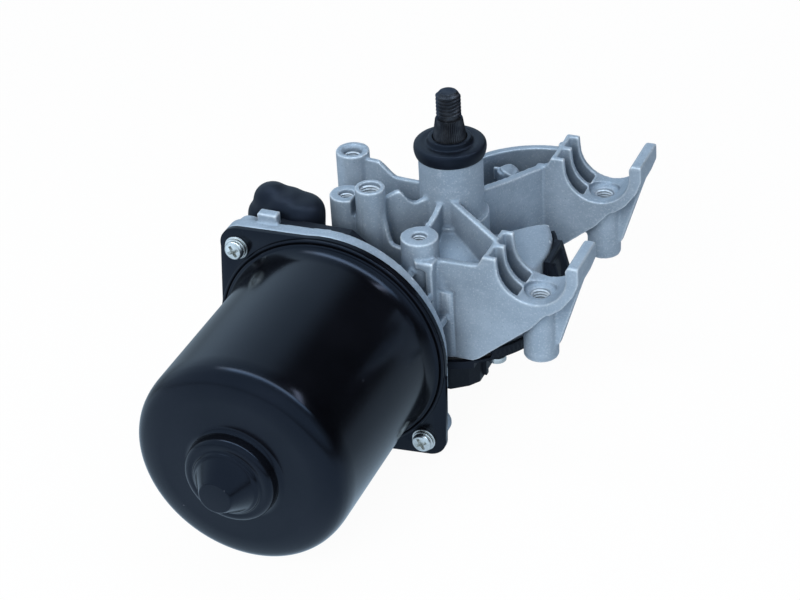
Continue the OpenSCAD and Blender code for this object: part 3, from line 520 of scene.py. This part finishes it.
def plate(bm, outline, thick, foot, turn=0.0):
    """Adds an upright plate that starts at foot, runs at turn degrees and has (along, height) corners."""
    part = bmesh.new()
    corners = [part.verts.new((along * MM, 0.0, height * MM)) for along, height in outline]
    face = part.faces.new(corners)
    grown = bmesh.ops.extrude_face_region(part, geom=[face])["geom"]
    back = [v for v in grown if isinstance(v, bmesh.types.BMVert)]
    bmesh.ops.translate(part, verts=back, vec=(0, -thick * MM, 0))
    bmesh.ops.recalc_face_normals(part, faces=part.faces[:])
    bmesh.ops.rotate(part, verts=part.verts[:], cent=(0, 0, 0),
                     matrix=Matrix.Rotation(radians(turn), 3, "Z"))
    bmesh.ops.translate(part, verts=part.verts[:], vec=(foot[0] * MM, foot[1] * MM, 0))
    joined(bm, part)


def casting_webs(bm):
    """The two webs of the front bosses, the lip in the far arm's hollow and the crown of the front tab."""
    # Height at which both webs start
    foot = -51.6
    tower_web = [
        (0, -23.6), (1, -23), (4.3, -21.5), (5.2, -21.5), (6.1, -22.6), (7.1, -24.1), (8.2, -25.4),
        (9.5, -26.2), (10.6, -26.3), (11.8, -25.7), (13.4, -25.2), (17, -25.2), (17, foot), (0, foot),
    ]
    boss_fin = [
        (3, -21.6), (4.6, -22.6), (6.1, -29.3), (7.4, -34.4), (8.2, -35.8), (9.4, -36), (16.4, -35.6),
        (16.4, foot), (3, foot),
    ]
    hollow_lip = [(0, -42.6), (4.4, -42.6), (4.4, -37.9), (0, -37.9)]
    tab_crown = [(0, -33.3), (6.1, -33.3), (6.1, -35.6), (0.2, -35.6)]
    fin_thick = 1.8
    plate(bm, tower_web, 2.2, foot=(-17.5, -14.8), turn=30.1)
    plate(bm, boss_fin, fin_thick, foot=(TALL_BOSS[0], TALL_BOSS[1] + fin_thick), turn=-19.7)
    plate(bm, hollow_lip, 1.2, foot=(0.2, 37.4))
    plate(bm, tab_crown, 4.6, foot=(0.3, -29.4))


def hollow_hump(bm):
    """A round stub in the far arm's hollow; its top slopes down towards the arm."""
    radius, foot, top, slope = 3.2, -64.6, -37.5, 0.49
    level = 1.0
    hump = bmesh.new()
    spun(hump, [(0.0, foot, 0), (radius, foot, 0), (radius, top, 0), (0.0, top, 0)], 48)
    for vert in hump.verts:
        if vert.co.z > (top + foot) / 2 * MM:
            vert.co.z -= max(0.0, vert.co.x + level * MM) * slope
    bmesh.ops.translate(hump, verts=hump.verts[:], vec=(6.2 * MM, 37 * MM, 0))
    close_up(hump)
    joined(bm, hump)


def boss_crown(bm):
    """The top of the boss that is cut flat on the side of its tall neighbour."""
    bore, radius, foot, top, flat = 2.45, 5.4, -29, -22.6, 3.3
    crown = bmesh.new()
    spun(crown, [(bore, foot, 0), (radius, foot, 0), (radius, top, 0), (bore, top, 0), (bore, foot, 0)], 64)
    for vert in crown.verts:
        vert.co.x = min(vert.co.x, flat * MM)
    bmesh.ops.translate(crown, verts=crown.verts[:], vec=(CUT_BOSS[0] * MM, CUT_BOSS[1] * MM, 0))
    close_up(crown)
    joined(bm, crown)


def cast_gear_housing():
    bm = merged_copy("gear_housing")
    casting_webs(bm)
    hollow_hump(bm)
    boss_crown(bm)
    bm = one_skin(bm, 0.42, 5, 190000)
    round_rim(bm)
    piece(bm, "cast_gear_housing", "housing", CAST, ("gear_housing",), smooth=180.0)


def moulded_covers():
    """The bottom cover with its side clip, and the bridge over the leads."""
    # The clip keeps its far end and 14 of its 18 mm, and its distance from the spindle
    far_end, solid_clip, clip = 10.0, 18.0, 14.0
    chamber_side, near_side, skirt_foot = 29, -12, -73.3
    cover = merged_copy("gear_cover")
    for vert in cover.verts:
        x, y, z = vert.co / MM
        if x > chamber_side and near_side < y < far_end and skirt_foot < z < RIM_Z:
            moved = far_end - (far_end - y) * clip / solid_clip
            vert.co = Vector(((x * x + y * y - moved * moved) ** 0.5, moved, z)) * MM
    piece(cover, "moulded_gear_cover", "housing", MOULDING, ("gear_cover",), smooth=28.0)
    piece(merged_copy("lead_cover"), "lead_bridge", "housing", MOULDING, ("lead_cover",),
          smooth=28.0)


# Motor can
def can_cup():
    """The spun cup with its beaded root, rounded shoulder and stepped nose."""
    length = FLANGE_BACK - CAN_END
    front = FLANGE_BACK - FLANGE_FRONT
    tip = length + 12.99
    wall = 1.8
    inner = CAN_R - wall
    bm = bmesh.new()
    beads = [
        (38.4, front - 0.4, 0), (38.4, front + 1.1, 0.55), (37.35, front + 1.1, 0.45),
        (37.15, front + 0.5, 0.1), (36.95, front + 1.5, 0.45), (36.1, front + 1.5, 0.4),
    ]
    wall_and_shoulder = [
        (CAN_R, front + 4.4, 2.2), (CAN_R, length - 8.6, 1.0), (34.25, length - 6.3, 1.0),
        (33.7, length - 4.2, 1.1), (32.6, length - 2.45, 0.9), (31.0, length - 1.25, 0.9),
        (28.6, length - 0.45, 1.1), (25.6, length, 1.2),
    ]
    nose = [
        (15.4, length, 1.0), (14.6, length + 0.9, 0.6), (14.3, length + 4.9, 1.5),
        (12.3, length + 5.2, 0.4), (10.9, length + 5.1, 0.6), (10.5, length + 6.2, 0.5),
        (9.6, length + 6.5, 0.5), (5.6, length + 12.4, 0.5), (5.1, tip, 0.3), (0.0, tip, 0),
    ]
    inside = [
        (0.0, length + 10.5, 0), (4.2, length + 10.5, 0), (4.2, length + 3.0, 0),
        (12.2, length + 3.0, 0), (12.2, length - wall, 0), (27.2, length - wall, 0.4),
        (inner, length - 7.3, 2.5), (inner, 0.1, 0),
    ]
    spun(bm, beads + wall_and_shoulder + nose + inside + beads[:1], 160)
    close_up(bm)
    to_motor(bm, FLANGE_BACK)
    return bm


def flange_plate():
    """The pressed flange plate round the cup, with its front edge rounded."""
    bm = merged_copy("motor_can")

    def from_axis(point):
        return hypot(point.x / MM - MOTOR_X, point.z / MM - MOTOR_Z)

    spare = []
    for face in bm.faces:
        middle = face.calc_center_median()
        if middle.y < (FLANGE_FRONT - 0.02) * MM or from_axis(middle) < CAN_R - 1.0:
            spare.append(face)
    bmesh.ops.delete(bm, geom=spare, context="FACES")
    bmesh.ops.dissolve_limit(bm, angle_limit=radians(0.5), verts=bm.verts[:], edges=bm.edges[:],
                             use_dissolve_boundaries=False)
    rim = []
    for edge in bm.edges:
        ends = [v.co for v in edge.verts]
        on_front = all(abs(end.y - FLANGE_FRONT * MM) < 0.02 * MM for end in ends)
        outer = min(from_axis(end) for end in ends) > CAN_R + 1.5
        if on_front and outer and len(edge.link_faces) == 2 and edge.calc_face_angle(0) > 1.0:
            rim.append(edge)
    bmesh.ops.bevel(bm, geom=rim, offset=0.45 * MM, offset_type="OFFSET", segments=3, profile=0.5,
                    affect="EDGES", clamp_overlap=True, material=-1)
    return bm


def drawn_can():
    bm = can_cup()
    joined(bm, flange_plate())
    piece(bm, "drawn_can", "housing", COATING, ("motor_can",), smooth=40.0)


def can_screw(side):
    """Pan head with a cross recess on a spring washer and a plain washer."""
    shank, foot, washer, spring, head, top = 2.4, -8.8, 3.95, 3.55, 3.2, 3.12
    bm = bmesh.new()
    spun(bm, [(0.0, foot, 0), (shank, foot, 0), (shank, 0.05, 0), (washer, 0.05, 0), (washer, 0.7, 0.2),
              (3.3, 0.75, 0), (3.3, 0.85, 0), (spring, 0.9, 0.1), (spring, 1.65, 0.15), (3.0, 1.7, 0),
              (3.0, 1.78, 0), (head, 1.8, 0.1), (head, 2.45, 0.3), (2.85, 3.0, 0.3), (2.35, top, 0.1)], 64)
    rim = [e for e in bm.edges if e.is_boundary and e.verts[0].co.z > 2.0 * MM]
    # The recess is a cross of four arms, tapered to its floor
    outline = []
    for quarter in range(4):
        turn = Matrix.Rotation(0.5 - quarter * pi / 2, 3, "Z")
        for dx, dy in ((0.62, 0.62), (2.1, 0.52), (2.1, -0.52)):
            outline.append(bm.verts.new(turn @ Vector((dx, dy, top)) * MM))
    cross = [bm.edges.new(pair) for pair in zip(outline, outline[1:] + outline[:1])]
    bmesh.ops.triangle_fill(bm, use_beauty=True, use_dissolve=False, edges=rim + cross, normal=(0, 0, 1))
    sides = bmesh.ops.extrude_edge_only(bm, edges=cross)["geom"]
    low = [v for v in sides if isinstance(v, bmesh.types.BMVert)]
    bmesh.ops.translate(bm, verts=low, vec=(0, 0, -1.5 * MM))
    bmesh.ops.scale(bm, verts=low, vec=(0.6, 0.6, 1.0))
    close_up(bm)
    to_motor(bm, FLANGE_FRONT, MOTOR_X + side * SCREW_OFF, MOTOR_Z - side * SCREW_OFF)
    return bm


def can_screws():
    bm = can_screw(-1)
    joined(bm, can_screw(1))
    piece(bm, "can_pan_screws", "housing", ZINC, ("can_screws",), smooth=30.0)


# Spindle and seal
def helix(bm, section, pitch, turns, start, steps=32):
    """A thread ridge: a section in the XZ plane wound up the Z axis."""
    corners = [bm.verts.new((a * MM, 0.0, (start + b) * MM)) for a, b in section]
    ridge = [bm.edges.new(pair) for pair in zip(corners, corners[1:] + corners[:1])]
    count = int(steps * turns)
    bmesh.ops.spin(bm, geom=corners + ridge, cent=(0, 0, 0), axis=(0, 0, 1), angle=2 * pi * turns,
                   steps=count, dvec=(0, 0, pitch * MM / steps), use_merge=False, use_duplicate=False)


def spindle():
    """The shaft in its bushes, the knurled cone and the threaded end."""
    shaft, flutes, groove = 5.5, 88, 0.36
    bm = bmesh.new()
    spun(bm, [(0.0, -68.2, 0), (shaft, -68.2, 0.3), (shaft, -11.0, 0), (5.0, -11.0, 0), (5.0, -10.0, 0),
              (shaft, -10.0, 0), (shaft, -7.6, 0), (0.0, -7.6, 0)], 96)
    cone = bmesh.new()
    spun(cone, [(0.0, -7.8, 0), (5.45, -7.8, 0), (5.4, -7.2, 0), (4.4, -0.5, 0), (4.1, -0.05, 0),
                (0.0, -0.05, 0)], flutes)
    for vert in cone.verts:
        spread = hypot(vert.co.x, vert.co.y)
        step = round(atan2(vert.co.y, vert.co.x) / (2 * pi) * flutes)
        if step % 2 and spread > 4.2 * MM and vert.co.z > -7.5 * MM:
            vert.co.x *= 1 - groove * MM / spread
            vert.co.y *= 1 - groove * MM / spread
    joined(bm, cone)
    core = bmesh.new()
    spun(core, [(0.0, -0.3, 0), (3.45, -0.3, 0), (3.45, 8.1, 0.1), (2.7, 9.0, 0.3), (0.0, 9.0, 0)], 64)
    joined(bm, core)
    # M8 thread, six turns
    thread = bmesh.new()
    helix(thread, [(3.3, -0.58), (3.97, -0.12), (3.97, 0.12), (3.3, 0.58)], 1.25, 6.0, 0.65)
    joined(bm, thread)
    close_up(bm)
    piece(bm, "threaded_spindle", "output", BLACK_STEEL, ("output_shaft",), smooth=30.0)


def tower_seal():
    """The rubber cap on the tower: a skirt, a crown with a groove and a lip round the spindle."""
    skirt, lip, foot, under = 10.35, 5.6, -13.15, -9.6
    bm = bmesh.new()
    spun(bm, [(skirt, foot, 0), (10.9, foot, 0.3), (11.35, -12.2, 0.5), (11.75, -10.2, 0.9),
              (11.3, -8.7, 0.9), (9.4, -8.3, 0.5), (7.5, -8.6, 0.5), (7.1, -7.6, 0.4), (6.9, -6.8, 0.4),
              (lip, -6.75, 0.1), (lip, under, 0), (skirt, under, 0), (skirt, foot, 0)], 128)
    close_up(bm)
    piece(bm, "tower_seal", "housing", RUBBER, ("seal_cap",), smooth=50.0)


# Cable boot
def cable_boot():
    """Lobes of different heights, each at its lean in degrees, under one smooth skin."""
    bm = bmesh.new()
    for x, y, foot, top, radius, crown, lean in (
        (-41.8, -26.5, -38.6, -21.9, 7.8, 4.6, 5.0),
        (-46.4, -25.8, -38.6, -20.9, 7.6, 5.2, 0.0),
        (-50.6, -25.0, -38.6, -19.4, 6.2, 5.4, -4.0),
        (-54.0, -25.0, -36.6, -25.2, 6.2, 5.0, 0.0),
    ):
        lobe = bmesh.new()
        spun(lobe, [(0.0, foot, 0), (radius, foot, 0.4), (radius, top, crown), (0.0, top, 0)], 64)
        close_up(lobe)
        bmesh.ops.rotate(lobe, verts=lobe.verts[:], cent=(0, 0, foot * MM),
                         matrix=Matrix.Rotation(radians(lean), 3, "Y"))
        bmesh.ops.translate(lobe, verts=lobe.verts[:], vec=(x * MM, y * MM, 0))
        joined(bm, lobe)
    bm = one_skin(bm, 0.5, 60)
    piece(bm, "lead_boot", "housing", RUBBER, ("cable_boot",), smooth=180.0)


# Threads cut in the cradles and bosses
def cut_threads():
    """Ridges in the cradles' clamp holes and in the four fixing bosses."""
    bm = bmesh.new()
    for (x, y), hole, pitch, turns, foot in (
        (NEAR_CLAMP, 3.0, 1.0, 12.0, -57.5), (FAR_CLAMP, 3.0, 1.0, 12.0, -57.5),
        (LEFT_BOSS, 2.9, 1.0, 10.0, -31.6), (CUT_BOSS, 2.35, 0.8, 9.0, -30.9),
        (TALL_BOSS, 3.3, 1.0, 10.0, -28.6), (FRONT_BOSS, 2.35, 0.8, 9.0, -36.2),
    ):
        part = bmesh.new()
        wall, crest = hole + 0.06, hole - 0.42 * pitch
        ridge = [(wall, -0.46 * pitch), (crest, -0.06), (crest, 0.06), (wall, 0.46 * pitch)]
        helix(part, ridge, pitch, turns, foot, 28)
        close_up(part)
        bmesh.ops.translate(part, verts=part.verts[:], vec=(x * MM, y * MM, 0))
        joined(bm, part)
    piece(bm, "cut_threads", "housing", CAST, (), smooth=30.0)


# Stage, light and camera
def pale_floor():
    """A white floor; reflections see it in daylight, darker behind the motor and to its right."""
    bm = bmesh.new()
    bmesh.ops.create_grid(bm, x_segments=1, y_segments=1, size=6.0)
    bmesh.ops.translate(bm, verts=bm.verts[:], vec=(0, 0, FLOOR_Z * MM))
    mesh = bpy.data.meshes.new("pale_floor")
    bm.to_mesh(mesh)
    bm.free()
    ground = bpy.data.objects.new("pale_floor", mesh)
    bpy.context.scene.collection.objects.link(ground)
    p = Paint("pale_floor", (0.9, 0.9, 0.9), 0.9, specular=0.1)
    east = p.node("ShaderNodeSeparateXYZ", {"Vector": p.place}, output="X").ramp(0.05, 0.5)
    rear = p.node("ShaderNodeSeparateXYZ", {"Vector": p.place}, output="Y").ramp(-0.12, 0.0)
    mirror = p.ray("Is Glossy Ray", "Is Transmission Ray")
    strength = 1.0 - mirror * (1.0 - (1.0 - rear * 0.55) * (1.0 - east * 0.85))
    tint = p.blend(mirror, (1.0, 1.0, 1.0), DAYLIGHT)
    glow = p.node("ShaderNodeEmission", {"Color": tint, "Strength": strength})
    # The camera and reflections see almost only the glow; the lit surface under it adds a faint shadow
    share = p.math("MAXIMUM", p.ray("Is Camera Ray"), mirror) * 0.96
    surface = p.node("ShaderNodeMixShader", [share, Socket(p, p.shader.outputs[0]), glow])
    p.tree.links.new(surface.link, p.tree.nodes["Material Output"].inputs["Surface"])
    ground.data.materials.append(p.material)


def studio():
    """White for the camera, a soft bluish grey for the light, and a room of its own for reflections."""
    world = bpy.data.worlds.new("studio")
    bpy.context.scene.world = world
    world.use_nodes = True
    world.node_tree.nodes.clear()
    w = Nodes(world.node_tree, "Generated")
    across = w.node("ShaderNodeSeparateXYZ", {"Vector": w.place}, output="X")
    along = w.node("ShaderNodeSeparateXYZ", {"Vector": w.place}, output="Y")
    height = w.node("ShaderNodeSeparateXYZ", {"Vector": w.place}, output="Z")
    # Reflections see a dark corner behind and to the right, and a long bright window overhead
    corner = (across.ramp(-0.7, 0.0) * 0.3 + across.ramp(-0.12, 0.28) * 0.7) * along.ramp(-0.4, 0.3)
    window = along.ramp(0.02, 0.07) * (1.0 - along.ramp(0.17, 0.22)) * height.ramp(0.3, 0.5)
    window = window * across.ramp(-0.55, -0.35) * (1.0 - across.ramp(0.7, 0.85))
    sky = (1.0 - corner * 0.99) * (height.ramp(-0.05, 0.3) * 0.4 + 0.6) + window * 5.0
    mirrored = w.node("ShaderNodeBackground", {"Color": DAYLIGHT, "Strength": sky})
    soft = w.node("ShaderNodeBackground", {"Color": (0.88, 0.94, 1.0), "Strength": 0.40})
    white = w.node("ShaderNodeBackground", {"Color": (1.0, 1.0, 1.0), "Strength": 1.0})
    lit = w.node("ShaderNodeMixShader", [w.ray("Is Glossy Ray", "Is Transmission Ray"), soft, mirrored])
    seen = w.node("ShaderNodeMixShader", [w.ray("Is Camera Ray"), lit, white])
    out = world.node_tree.nodes.new("ShaderNodeOutputWorld")
    world.node_tree.links.new(seen.link, out.inputs["Surface"])


def lamp(name, direction, size, power, tint, mirrored=True):
    """A soft rectangle, sized in metres, that faces the object from a direction."""
    distance = 1.0
    aim = Vector((0.0, -0.03, -0.05))
    place = aim + Vector(direction).normalized() * distance
    data = bpy.data.lights.new(name, "AREA")
    data.shape = "RECTANGLE"
    data.size, data.size_y = size
    data.energy = power
    data.color = tint
    made = bpy.data.objects.new(name, data)
    bpy.context.scene.collection.objects.link(made)
    made.location = place
    made.rotation_euler = (aim - place).to_track_quat("-Z", "Y").to_euler()
    made.visible_glossy = mirrored


def lamps():
    lamp("overhead_strip", (0.0, 0.12, 0.97), (1.5, 0.16), 2.4, (0.90, 0.95, 1.0))
    lamp("front_key", (0.0, -0.8, 0.55), (0.6, 0.5), 8.4, (0.95, 0.98, 1.0), mirrored=False)
    lamp("rear_strip", (0.57, 0.34, 0.75), (0.35, 0.12), 0.8, (0.86, 0.88, 1.0))


def photo_camera():
    azimuth, elevation, roll = radians(AZIMUTH), radians(ELEVATION), radians(ROLL)
    back = Vector((sin(azimuth) * cos(elevation), -cos(azimuth) * cos(elevation), sin(elevation)))
    right = Vector((cos(azimuth), sin(azimuth), 0.0))
    up = back.cross(right)
    turned_right = cos(roll) * right + sin(roll) * up
    turned_up = cos(roll) * up - sin(roll) * right
    place = Vector(AIM) * MM + back * (DISTANCE * MM)
    data = bpy.data.cameras.new("photo_camera")
    data.sensor_fit = "HORIZONTAL"
    data.sensor_width = 36.0
    data.lens = FOCAL_PX / PHOTO_WIDTH_PX * 36.0
    data.clip_start = 0.01
    data.clip_end = 50.0
    camera = bpy.data.objects.new("photo_camera", data)
    camera.matrix_world = Matrix((
        (turned_right.x, turned_up.x, back.x, place.x),
        (turned_right.y, turned_up.y, back.y, place.y),
        (turned_right.z, turned_up.z, back.z, place.z),
        (0.0, 0.0, 0.0, 1.0),
    ))
    bpy.context.scene.collection.objects.link(camera)
    bpy.context.scene.camera = camera
    bpy.context.scene.view_settings.view_transform = "Standard"


pale_floor()
studio()
lamps()
photo_camera()
cast_gear_housing()
moulded_covers()
drawn_can()
can_screws()
spindle()
tower_seal()
cable_boot()
cut_threads()
